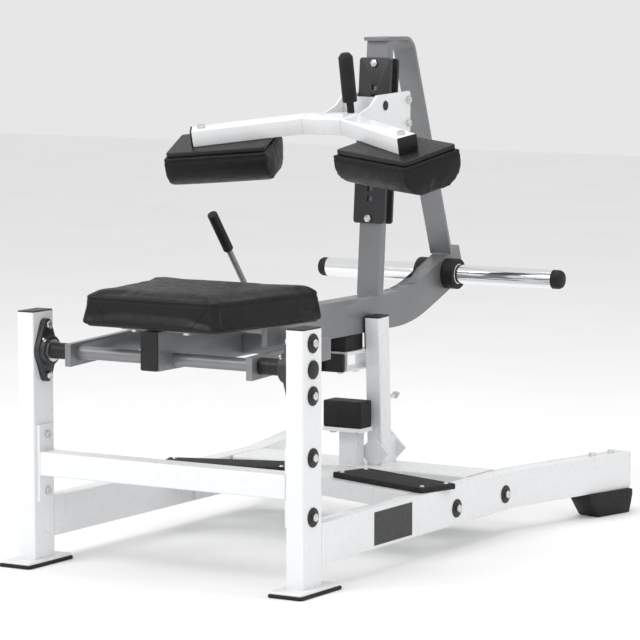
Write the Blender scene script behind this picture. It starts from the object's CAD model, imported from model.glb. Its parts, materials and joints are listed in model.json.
import json
import math

import bmesh
import bpy
import numpy as np
from mathutils import Euler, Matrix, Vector
from mathutils.bvhtree import BVHTree


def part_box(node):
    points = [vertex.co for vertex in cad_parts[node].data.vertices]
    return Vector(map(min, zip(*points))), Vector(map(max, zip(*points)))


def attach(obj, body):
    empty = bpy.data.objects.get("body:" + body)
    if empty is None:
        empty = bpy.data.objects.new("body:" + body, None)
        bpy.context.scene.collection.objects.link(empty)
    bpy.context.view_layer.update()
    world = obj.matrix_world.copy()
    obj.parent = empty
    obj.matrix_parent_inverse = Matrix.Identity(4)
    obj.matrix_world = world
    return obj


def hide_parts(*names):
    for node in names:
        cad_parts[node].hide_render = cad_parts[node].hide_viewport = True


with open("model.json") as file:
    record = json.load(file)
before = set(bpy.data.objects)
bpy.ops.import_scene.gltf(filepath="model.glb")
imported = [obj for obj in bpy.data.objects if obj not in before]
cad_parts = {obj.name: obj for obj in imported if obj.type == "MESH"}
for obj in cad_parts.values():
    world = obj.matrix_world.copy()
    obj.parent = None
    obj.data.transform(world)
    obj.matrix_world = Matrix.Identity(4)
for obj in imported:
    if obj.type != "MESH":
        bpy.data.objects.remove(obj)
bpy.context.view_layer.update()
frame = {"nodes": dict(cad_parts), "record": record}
RECORD = frame["record"]
BODY = {n: b for b, members in RECORD["behaviour"]["bodies"].items() for n in members}
SLOT = {s["node"]: s["material_slot"] for s in RECORD["subparts"]}


# ---------- materials ----------

class Shader:
    """A principled material with a few node helpers."""

    def __init__(self, name):
        self.material = bpy.data.materials.new(name)
        self.material.use_nodes = True
        self.tree = self.material.node_tree
        self.surface = self.tree.nodes["Principled BSDF"]
        self.place = self.tree.nodes.new("ShaderNodeTexCoord").outputs["Object"]

    def noise(self, scale, detail=5.0, stretch=(1, 1, 1)):
        mapping = self.tree.nodes.new("ShaderNodeMapping")
        mapping.inputs["Scale"].default_value = stretch
        self.tree.links.new(self.place, mapping.inputs["Vector"])
        node = self.tree.nodes.new("ShaderNodeTexNoise")
        node.inputs["Scale"].default_value = scale
        node.inputs["Detail"].default_value = detail
        self.tree.links.new(mapping.outputs["Vector"], node.inputs["Vector"])
        return node.outputs["Fac"]

    def cells(self, scale):
        node = self.tree.nodes.new("ShaderNodeTexVoronoi")
        node.inputs["Scale"].default_value = scale
        self.tree.links.new(self.place, node.inputs["Vector"])
        return node.outputs["Distance"]

    def spread(self, value, low, high, to_low, to_high):
        node = self.tree.nodes.new("ShaderNodeMapRange")
        for key, number in (("From Min", low), ("From Max", high),
                            ("To Min", to_low), ("To Max", to_high)):
            node.inputs[key].default_value = number
        self.tree.links.new(value, node.inputs["Value"])
        return node.outputs["Result"]

    def mix(self, factor, a, b):
        node = self.tree.nodes.new("ShaderNodeMix")
        node.data_type = "RGBA"
        self.tree.links.new(factor, node.inputs["Factor"])
        for socket, value in ((node.inputs[6], a), (node.inputs[7], b)):
            if isinstance(value, tuple):
                socket.default_value = (*value, 1)
            else:
                self.tree.links.new(value, socket)
        return node.outputs[2]

    def bump(self, value, depth):
        node = self.tree.nodes.new("ShaderNodeBump")
        node.inputs["Distance"].default_value = depth
        node.inputs["Strength"].default_value = 1.0
        self.tree.links.new(value, node.inputs["Height"])
        self.tree.links.new(node.outputs["Normal"], self.surface.inputs["Normal"])


def finish(name, colour, worn, rough, metallic=0.0, tone=0.06, tone_scale=9, grain_scale=900,
           grain_depth=0.00004, grain="noise", wear=0.66, stretch=(1, 1, 1), coat=0.0, sheen_level=0.5, scuff=0.35):
    """A finish with slow colour variation, worn patches, uneven gloss and a fine grain."""
    s = Shader(name)
    dark = tuple(c * (1 - tone) for c in colour)
    light = tuple(min(1.0, c * (1 + tone)) for c in colour)
    slow = s.noise(tone_scale, 6, stretch)
    body = s.mix(s.spread(slow, 0.35, 0.65, 0, 1), dark, light)
    scuffs = s.spread(s.noise(tone_scale * 9, 9, stretch), wear, wear + 0.07, 0, scuff)
    s.tree.links.new(s.mix(scuffs, body, worn), s.surface.inputs["Base Color"])
    gloss = s.spread(s.noise(tone_scale * 4, 7, stretch), 0.3, 0.7, rough * 0.82, min(1.0, rough * 1.2))
    s.tree.links.new(gloss, s.surface.inputs["Roughness"])
    s.surface.inputs["Metallic"].default_value = metallic
    s.surface.inputs["Specular IOR Level"].default_value = sheen_level
    s.surface.inputs["Coat Weight"].default_value = coat
    s.surface.inputs["Coat Roughness"].default_value = 0.12
    s.bump(s.cells(grain_scale) if grain == "cells" else s.noise(grain_scale, 3), grain_depth)
    return s.material


FINISHES = {
    "frame_paint": finish("white_powder_coat", (0.80, 0.81, 0.82), (0.70, 0.71, 0.72), 0.30,
                          tone=0.006, grain_scale=420, grain_depth=0.00002, wear=0.72, coat=0.35, scuff=0.10),
    "lever_paint": finish("silver_paint", (0.23, 0.235, 0.245), (0.17, 0.172, 0.176), 0.38, metallic=0.5,
                          tone=0.05, grain_scale=1500, wear=0.70),
    "chrome": finish("chrome_plate", (0.86, 0.87, 0.88), (0.60, 0.60, 0.60), 0.10, metallic=1.0,
                     tone=0.02, grain_scale=600, grain_depth=0.00001, stretch=(0.3, 3, 3)),
    "zinc": finish("bright_zinc", (0.70, 0.70, 0.68), (0.48, 0.46, 0.40), 0.28, metallic=1.0,
                   tone=0.10, tone_scale=60),
    "rubber": finish("black_rubber", (0.012, 0.012, 0.012), (0.032, 0.031, 0.030), 0.60,
                     tone=0.25, tone_scale=22, grain_scale=1100, grain_depth=0.00008, sheen_level=0.3),
    "plastic": finish("black_plastic", (0.011, 0.011, 0.012), (0.028, 0.028, 0.028), 0.42,
                      tone=0.18, tone_scale=25, grain_scale=1300, grain_depth=0.00006, sheen_level=0.35),
    "black_paint": finish("charcoal_paint", (0.022, 0.023, 0.025), (0.06, 0.06, 0.06), 0.45,
                          tone=0.12, tone_scale=18, grain_scale=700, grain_depth=0.00006),
    "grip_coat": finish("grip_surface", (0.016, 0.016, 0.017), (0.05, 0.049, 0.046), 0.88,
                        tone=0.30, tone_scale=30, grain="cells", grain_scale=620, grain_depth=0.0006),
    "vinyl": finish("black_vinyl", (0.006, 0.006, 0.007), (0.010, 0.010, 0.010), 0.48,
                    tone=0.15, tone_scale=14, grain="cells", grain_scale=520, grain_depth=0.00009, sheen_level=0.26, scuff=0.15),
}

for node, obj in frame["nodes"].items():
    obj.data.materials.clear()
    obj.data.materials.append(FINISHES[SLOT[node]])


# ---------- building blocks ----------

def add_piece(name, mesh, body, slot):
    """Links a mesh as a piece that rides on a body and has a finish."""
    obj = bpy.data.objects.new(name, mesh)
    bpy.context.scene.collection.objects.link(obj)
    mesh.materials.clear()
    mesh.materials.append(FINISHES[slot])
    for face in mesh.polygons:
        face.use_smooth = True
    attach(obj, body)
    return obj


def evaluated(obj):
    """The object's mesh with its modifiers applied."""
    graph = bpy.context.evaluated_depsgraph_get()
    return bpy.data.meshes.new_from_object(obj.evaluated_get(graph))


def clean_copy(node):
    """A copy of a CAD mesh with its flat faces whole again."""
    bm = bmesh.new()
    bm.from_mesh(frame["nodes"][node].data)
    bmesh.ops.remove_doubles(bm, verts=bm.verts, dist=1e-6)
    bmesh.ops.dissolve_limit(bm, angle_limit=math.radians(0.6), verts=bm.verts, edges=bm.edges)
    mesh = bpy.data.meshes.new(node + "_soft")
    bm.to_mesh(mesh)
    bm.free()
    return mesh


def soften(node, width):
    """Stands in for a CAD node with the same shape and rounded edges."""
    obj = bpy.data.objects.new(node + "_soft", clean_copy(node))
    bpy.context.scene.collection.objects.link(obj)
    bevel = obj.modifiers.new("edge", "BEVEL")
    bevel.width = width
    bevel.segments = 3
    bevel.limit_method = "ANGLE"
    bevel.angle_limit = math.radians(32)
    bevel.use_clamp_overlap = True
    weight = obj.modifiers.new("normals", "WEIGHTED_NORMAL")
    weight.keep_sharp = True
    mesh = evaluated(obj)
    bpy.data.objects.remove(obj)
    piece = add_piece(node + "_edged", mesh, BODY[node], SLOT[node])
    mesh.set_sharp_from_angle(angle=math.radians(38))
    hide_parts(node)
    return piece


def tube(name, points, radius, body, slot, closed=False, sides=10, ripple=0.0, pitch=0.004):
    """A round bead along a line of points. Ripple is how much its radius varies, as a weld does."""
    line = [Vector(p) for p in points]
    if closed:
        line.append(line[0].copy())
    dense = []
    for a, b in zip(line, line[1:]):
        steps = max(1, round((b - a).length / (pitch / 4 if ripple else pitch)))
        dense += [a.lerp(b, i / steps) for i in range(steps)]
    if not closed:
        dense.append(line[-1])
    bm = bmesh.new()
    count, rings, travelled = len(dense), [], 0.0
    for i, p in enumerate(dense):
        before = dense[i - 1] if closed or i else p
        after = dense[(i + 1) % count] if closed or i < count - 1 else p
        along = (after - before).normalized()
        if i == 0:
            side = along.orthogonal().normalized()
        else:
            side = (side - along * side.dot(along)).normalized()
        up = along.cross(side)
        travelled += (p - dense[i - 1]).length if i else 0.0
        r = radius * (1 + ripple * math.sin(2 * math.pi * travelled / pitch))
        rings.append([bm.verts.new(p + r * (math.cos(t) * side + math.sin(t) * up))
                      for t in (2 * math.pi * k / sides for k in range(sides))])
    for i in range(count if closed else count - 1):
        a, b = rings[i], rings[(i + 1) % count]
        shift = 0
        if closed and i == count - 1:
            shift = min(range(sides), key=lambda k: (a[0].co - b[k].co).length)
        for k in range(sides):
            bm.faces.new((a[k], a[(k + 1) % sides], b[(k + 1 + shift) % sides], b[(k + shift) % sides]))
    if not closed:
        bm.faces.new(list(reversed(rings[0])))
        bm.faces.new(rings[-1])
    bmesh.ops.recalc_face_normals(bm, faces=bm.faces)
    mesh = bpy.data.meshes.new(name)
    bm.to_mesh(mesh)
    bm.free()
    return add_piece(name, mesh, body, slot)


# ---------- rounded edges on the metal, plastic and rubber ----------

EDGES = {
    0.0040: ("left_rail", "right_rail", "spine", "yoke", "lower_bumper", "front_pads", "rear_feet"),
    0.0030: ("seat_board", "knee_pad_boards", "foot_crossmember", "rest_pad", "lever_post", "spine_caps"),
    0.0020: ("side_arms", "top_strap", "carriage", "left_footplate", "right_footplate", "catch_foot",
             "slide_blocks", "horn_caps", "horn_collars", "floor_plates", "hand_grip", "catch_grip"),
    0.0012: ("guide_plates", "seat_frame", "catch_arm", "bearing_housings", "carriage_caps", "tube_caps",
             "post_gussets", "post_wear_strip", "discs_and_plugs", "selector_pin"),
    0.0008: ("beam_bolts", "rail_bolts", "bearing_bolts", "seat_bolts", "guide_bolts", "carriage_bolts",
             "post_bolts"),
}
for width, members in EDGES.items():
    for node in members:
        soften(node, width)


# ---------- cushions ----------

CLOTH_FRAMES = 20
SMOOTH_PASSES = 2
SEAM_STEPS = 160
CORNER_STEPS = 24
CHANNEL_DEPTH = 0.0018
CHANNEL_WIDTH = 0.003
WRAP_BAND = 0.01


def grown(obj, held, pressure):
    """Cloth blown out by pressure from inside, held at its back."""
    cloth = obj.modifiers.new("cloth", "CLOTH")
    settings = cloth.settings
    settings.quality = 6
    settings.mass = 0.4
    settings.tension_stiffness = settings.compression_stiffness = 30
    settings.shear_stiffness = 20
    settings.bending_stiffness = 4
    settings.vertex_group_mass = held.name
    settings.use_pressure = True
    settings.uniform_pressure_force = pressure
    settings.effector_weights.gravity = 0
    cloth.point_cache.frame_start = 1
    cloth.point_cache.frame_end = CLOTH_FRAMES
    for number in range(1, CLOTH_FRAMES + 1):
        bpy.context.scene.frame_set(number)
    return evaluated(obj)


def cushion(node, back, inset, voxel, limit, pressure, seam_depth, wrap=0.0):
    """A foam pad in vinyl. Back is the way its flat side faces, and wrap how far it reaches over its board."""
    back = Vector(back).normalized()
    obj = bpy.data.objects.new(node + "_work", clean_copy(node))
    bpy.context.scene.collection.objects.link(obj)
    co = np.array([v.co for v in obj.data.vertices])
    low, high = co.min(0), co.max(0)
    middle = Vector((low + high) / 2)
    size = high - low
    base = max(v.co.dot(back) for v in obj.data.vertices)
    for v in obj.data.vertices:
        v.co = middle + Vector([c * (1 - 2 * inset / s) for c, s in zip(v.co - middle, size)])
    shift = back * (base - max(v.co.dot(back) for v in obj.data.vertices))
    for v in obj.data.vertices:
        near_back = 1 - (base - (v.co + shift).dot(back)) / WRAP_BAND
        v.co += shift + back * wrap * max(0.0, near_back)
    remesh = obj.modifiers.new("remesh", "REMESH")
    remesh.mode = "VOXEL"
    remesh.voxel_size = voxel
    mesh = evaluated(obj)
    bpy.data.objects.remove(obj)
    obj = bpy.data.objects.new(node + "_work", mesh)
    bpy.context.scene.collection.objects.link(obj)
    rest = np.array([v.co for v in mesh.vertices])
    depth = rest @ np.array(back)
    held = obj.vertex_groups.new(name="held")
    held.add([int(i) for i in np.where(depth > depth.max() - voxel)[0]], 1.0, "REPLACE")
    mesh = grown(obj, held, pressure)
    moved = np.array([v.co for v in mesh.vertices]) - rest
    length = np.linalg.norm(moved, axis=1, keepdims=True)
    moved *= np.minimum(1.0, limit / np.maximum(length, 1e-9))
    mesh.vertices.foreach_set("co", (rest + moved).astype(np.float32).ravel())
    bpy.data.objects.remove(obj)
    bm = bmesh.new()
    bm.from_mesh(mesh)
    for _ in range(SMOOTH_PASSES):
        bmesh.ops.smooth_vert(bm, verts=bm.verts, factor=0.5, use_axis_x=True, use_axis_y=True,
                              use_axis_z=True)
    bmesh.ops.subdivide_edges(bm, edges=bm.edges, cuts=1, smooth=0.6, use_grid_fill=True)
    bm.normal_update()
    # a shallow channel along the seam, at one depth from the back
    heights = [v.co.dot(back) for v in bm.verts]
    seam = max(heights) - seam_depth
    for v, h in zip(bm.verts, heights):
        if abs(v.normal.dot(back)) < 0.75:
            v.co -= v.normal * CHANNEL_DEPTH * math.exp(-((h - seam) / CHANNEL_WIDTH) ** 2)
    out = bpy.data.meshes.new(node + "_cushion")
    bm.to_mesh(out)
    bm.free()
    piece = add_piece(node + "_cushion", out, BODY[node], SLOT[node])
    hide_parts(node)
    tree = BVHTree.FromPolygons([v.co for v in out.vertices], [p.vertices for p in out.polygons])
    return piece, tree, back, seam, middle


def seam_round(name, made, node, radius=0.0011):
    """Piping in the channel, found by looking in from all round the pad."""
    _, tree, back, seam, middle = made
    flat_middle = middle - back * (middle.dot(back) - seam)
    u = back.orthogonal().normalized()
    v = back.cross(u)
    points = []
    for k in range(SEAM_STEPS):
        angle = 2 * math.pi * k / SEAM_STEPS
        out = math.cos(angle) * u + math.sin(angle) * v
        hit = tree.ray_cast(flat_middle + out * 0.6, -out)[0]
        if hit is not None:
            points.append(hit + out * radius * 0.3)
    return tube(name, points, radius, BODY[node], "vinyl", closed=True, sides=8)


YOKE_TILT = math.radians(14)
seat = cushion("seat_cushion", (0, 0, -1), 0.0, 0.006, 0.010, 9.0, 0.058, wrap=0.017)
seam_round("seat_seam", seat, "seat_cushion")
for side, tag in ((-1, "left"), (1, "right")):
    points = []
    for k in range(CORNER_STEPS + 1):
        t = k / CORNER_STEPS
        start = Vector((side * (0.170 - 0.054 * t), -1.0, 0.636 - 0.054 * t ** 1.6))
        hit = seat[1].ray_cast(start, Vector((0, 1, 0)))[0]
        if hit is not None:
            points.append(hit)
    tube("seat_corner_seam_" + tag, points, 0.0009, "lever", "vinyl", sides=8)
pad_back = (0, -math.sin(YOKE_TILT), math.cos(YOKE_TILT))
for side in ("left", "right"):
    pad = cushion(side + "_knee_pad", pad_back, 0.002, 0.005, 0.005, 4.0, 0.010)
    seam_round(side + "_pad_seam", pad, side + "_knee_pad")


# ---------- weld beads ----------

def ring(name, corners, body, slot, radius=0.0022):
    tube(name, corners, radius, body, slot, closed=True, ripple=0.16, pitch=0.0042)


POST_FRONT, POST_REAR = 0.244, 0.2741
SPINE_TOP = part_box("lever_post")[0].z
SPINE_HALF = 0.023
ring("weld_post_foot", [(-SPINE_HALF, POST_FRONT, SPINE_TOP), (SPINE_HALF, POST_FRONT, SPINE_TOP),
                        (SPINE_HALF, POST_REAR, SPINE_TOP), (-SPINE_HALF, POST_REAR, SPINE_TOP)],
     "lever", "lever_paint")

RISE = math.radians(20)
kink = Vector((0, 0.4955, 0.5515))
tail_way = Vector((0, math.cos(RISE), math.sin(RISE)))
tail_up = Vector((0, -math.sin(RISE), math.cos(RISE)))
for label, reach in (("inner", 0.1450), ("outer", 0.1556)):
    seat_line = kink + reach * tail_way + 0.044 * tail_up
    across = Vector((SPINE_HALF, 0, 0))
    tube("weld_strap_" + label, [seat_line - across, seat_line + across],
         0.0024, "lever", "lever_paint", ripple=0.16, pitch=0.0042)

beam_low, beam_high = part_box("front_crossbeam")
BEAM_Z = (0.211, 0.267)
for side in (-1, 1):
    x = side * (beam_high.x - 0.008)
    tag = "left" if side < 0 else "right"
    ring("weld_beam_" + tag, [(x, beam_low.y, BEAM_Z[0]), (x, beam_high.y, BEAM_Z[0]),
                              (x, beam_high.y, BEAM_Z[1]), (x, beam_low.y, BEAM_Z[1])], "base", "frame_paint")
    for k, height in enumerate((0.488, 0.534)):
        tube(f"weld_seat_bar_{tag}_{k}",
             [(side * SPINE_HALF, -0.366, height), (side * SPINE_HALF, -0.350, height)],
             0.0022, "lever", "lever_paint", ripple=0.16, pitch=0.0042)
    # the yoke's miter, round its four faces
    turn = Euler((YOKE_TILT, 0, 0)).to_matrix()
    corner = [Vector((side * x, y, z)) for x, y, z in
              ((0.069, 0.026, 0.020), (0.055, -0.026, 0.020), (0.055, -0.026, -0.020), (0.069, 0.026, -0.020))]
    ring("weld_yoke_" + tag, [turn @ c + Vector((0, 0.052, 1.002)) for c in corner],
         "pad_carriage", "frame_paint", 0.0014)

RAIL_TOP = 0.153
ring("weld_rear_post", [(0.028, 0.200, RAIL_TOP), (0.070, 0.200, RAIL_TOP), (0.070, 0.251, RAIL_TOP),
                        (0.028, 0.251, RAIL_TOP)], "base", "frame_paint")
ring("weld_column", [(-0.025, 0.149, RAIL_TOP), (0.025, 0.149, RAIL_TOP), (0.025, 0.191, RAIL_TOP),
                     (-0.025, 0.191, RAIL_TOP)], "base", "frame_paint")


# ---------- grease nipples on the bearings ----------

def nipple(name, foot, way):
    """A turned fitting: hexagon, neck and ball."""
    way = Vector(way).normalized()
    side = way.orthogonal().normalized()
    up = way.cross(side)
    profile = [(0, 0.0042), (0.003, 0.0042), (0.0032, 0.0024), (0.0055, 0.0020), (0.0065, 0.0030),
               (0.0085, 0.0030), (0.0098, 0.0016)]
    bm = bmesh.new()
    rings = []
    for along, r in profile:
        rings.append([bm.verts.new(Vector(foot) + along * way + r * (math.cos(t) * side + math.sin(t) * up))
                      for t in (2 * math.pi * k / 16 for k in range(16))])
    for a, b in zip(rings, rings[1:]):
        for k in range(16):
            bm.faces.new((a[k], a[(k + 1) % 16], b[(k + 1) % 16], b[k]))
    bm.faces.new(list(reversed(rings[0])))
    bm.faces.new(rings[-1])
    bmesh.ops.recalc_face_normals(bm, faces=bm.faces)
    mesh = bpy.data.meshes.new(name)
    bm.to_mesh(mesh)
    bm.free()
    return add_piece(name, mesh, "base", "zinc")


for side, tag in ((-1, "left"), (1, "right")):
    nipple("grease_nipple_" + tag, (side * 0.321, -0.650 - 0.0235, 0.502 + 0.0235), (0, -1, 1))


# ---------- studio ----------

floor_mesh = bpy.data.meshes.new("studio_floor")
HALF = 14.0
floor_mesh.from_pydata([(-HALF, -HALF, 0), (HALF, -HALF, 0), (HALF, HALF, 0), (-HALF, HALF, 0)],
                       [], [(0, 1, 2, 3)])
floor = bpy.data.objects.new("studio_floor", floor_mesh)
bpy.context.scene.collection.objects.link(floor)
floor_mesh.materials.append(finish("pale_floor", (0.93, 0.93, 0.93), (0.92, 0.92, 0.92), 0.7, tone=0.01,
                                   tone_scale=1.5, grain_scale=60, grain_depth=0.0001))

world = bpy.data.worlds.new("studio")
bpy.context.scene.world = world
world.use_nodes = True
world.node_tree.nodes["Background"].inputs["Color"].default_value = (1, 1, 1, 1)
world.node_tree.nodes["Background"].inputs["Strength"].default_value = 0.80


def softbox(name, place, aim, size, power):
    light = bpy.data.lights.new(name, "AREA")
    light.shape = "RECTANGLE"
    light.size, light.size_y = size
    light.energy = power
    obj = bpy.data.objects.new(name, light)
    obj.location = place
    obj.rotation_euler = (Vector(aim) - Vector(place)).to_track_quat("-Z", "Y").to_euler()
    bpy.context.scene.collection.objects.link(obj)


MIDDLE = (0, 0, 0.6)
softbox("key", (-1.8, -4.2, 4.2), MIDDLE, (2.4, 2.4), 120)
softbox("fill", (4.6, -2.4, 2.6), MIDDLE, (2.4, 3.0), 26)
softbox("top", (0.2, 0.4, 4.8), MIDDLE, (3.4, 3.4), 60)

YAW, PITCH = math.radians(31.28), math.radians(6.27)
camera_data = bpy.data.cameras.new("camera")
camera_data.sensor_width = 36
camera_data.lens = 192.5
camera_data.clip_end = 60
camera = bpy.data.objects.new("camera", camera_data)
camera.location = (4.289, -7.040, 1.435)
look = Vector((-math.sin(YAW) * math.cos(PITCH), math.cos(YAW) * math.cos(PITCH), -math.sin(PITCH)))
camera.rotation_euler = look.to_track_quat("-Z", "Y").to_euler()
bpy.context.scene.collection.objects.link(camera)
bpy.context.scene.camera = camera
bpy.context.scene.view_settings.view_transform = "Standard"
